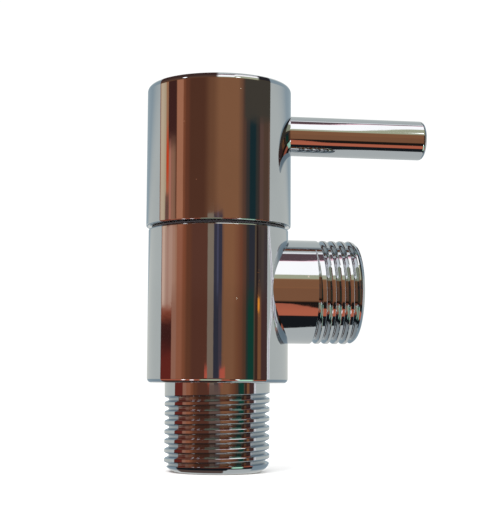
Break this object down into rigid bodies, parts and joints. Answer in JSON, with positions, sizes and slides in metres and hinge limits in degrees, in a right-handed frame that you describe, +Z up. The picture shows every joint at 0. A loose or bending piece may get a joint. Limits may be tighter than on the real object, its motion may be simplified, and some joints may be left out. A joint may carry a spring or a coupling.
{
  "type": "angle valve",
  "caption": "Chrome-plated quarter-turn angle valve: threaded inlet below, threaded outlet at the side, and a round handle with a pin lever on top.",
  "frame": {"origin": "centre of the inlet spigot's end face", "axes": "+Z up along the inlet, barrel and handle axis; +X along the outlet, and along the lever when the valve is open"},
  "size_m": [0.0568, 0.0288, 0.0768],
  "materials": {
    "chrome": "polished",
    "cartridge_brass": "satin",
    "ceramic": "satin",
    "rubber": "matte",
    "white_plastic": "satin",
    "dark_plastic": "satin",
    "grey_plastic": "satin",
    "spring_steel": "satin",
    "screw_steel": "satin"
  },
  "bodies": {
    "valve": {"valve_body": "chrome", "cartridge_housing": "cartridge_brass", "housing_gasket": "rubber", "seat_seal": "rubber", "seal_support_ring": "white_plastic", "fixed_disc": "ceramic", "flow_silencer": "grey_plastic", "glide_ring": "dark_plastic"},
    "handle": {"handle_hub": "chrome", "spline_insert": "grey_plastic", "lever_rod": "chrome", "lever_stud": "screw_steel", "grub_screw": "screw_steel", "spindle": "cartridge_brass", "drive_disc": "ceramic", "thrust_washer": "white_plastic", "spindle_o_ring_lower": "rubber", "spindle_o_ring_upper": "rubber", "stop_washer": "cartridge_brass", "retaining_clip": "spring_steel"}
  },
  "joints": [
    {"name": "handle_turn", "type": "hinge", "parent": "valve", "child": "handle", "pos_m": [0, 0, 0.06], "axis": [0, 0, 1], "range_deg": [-90, 0]}
  ]
}
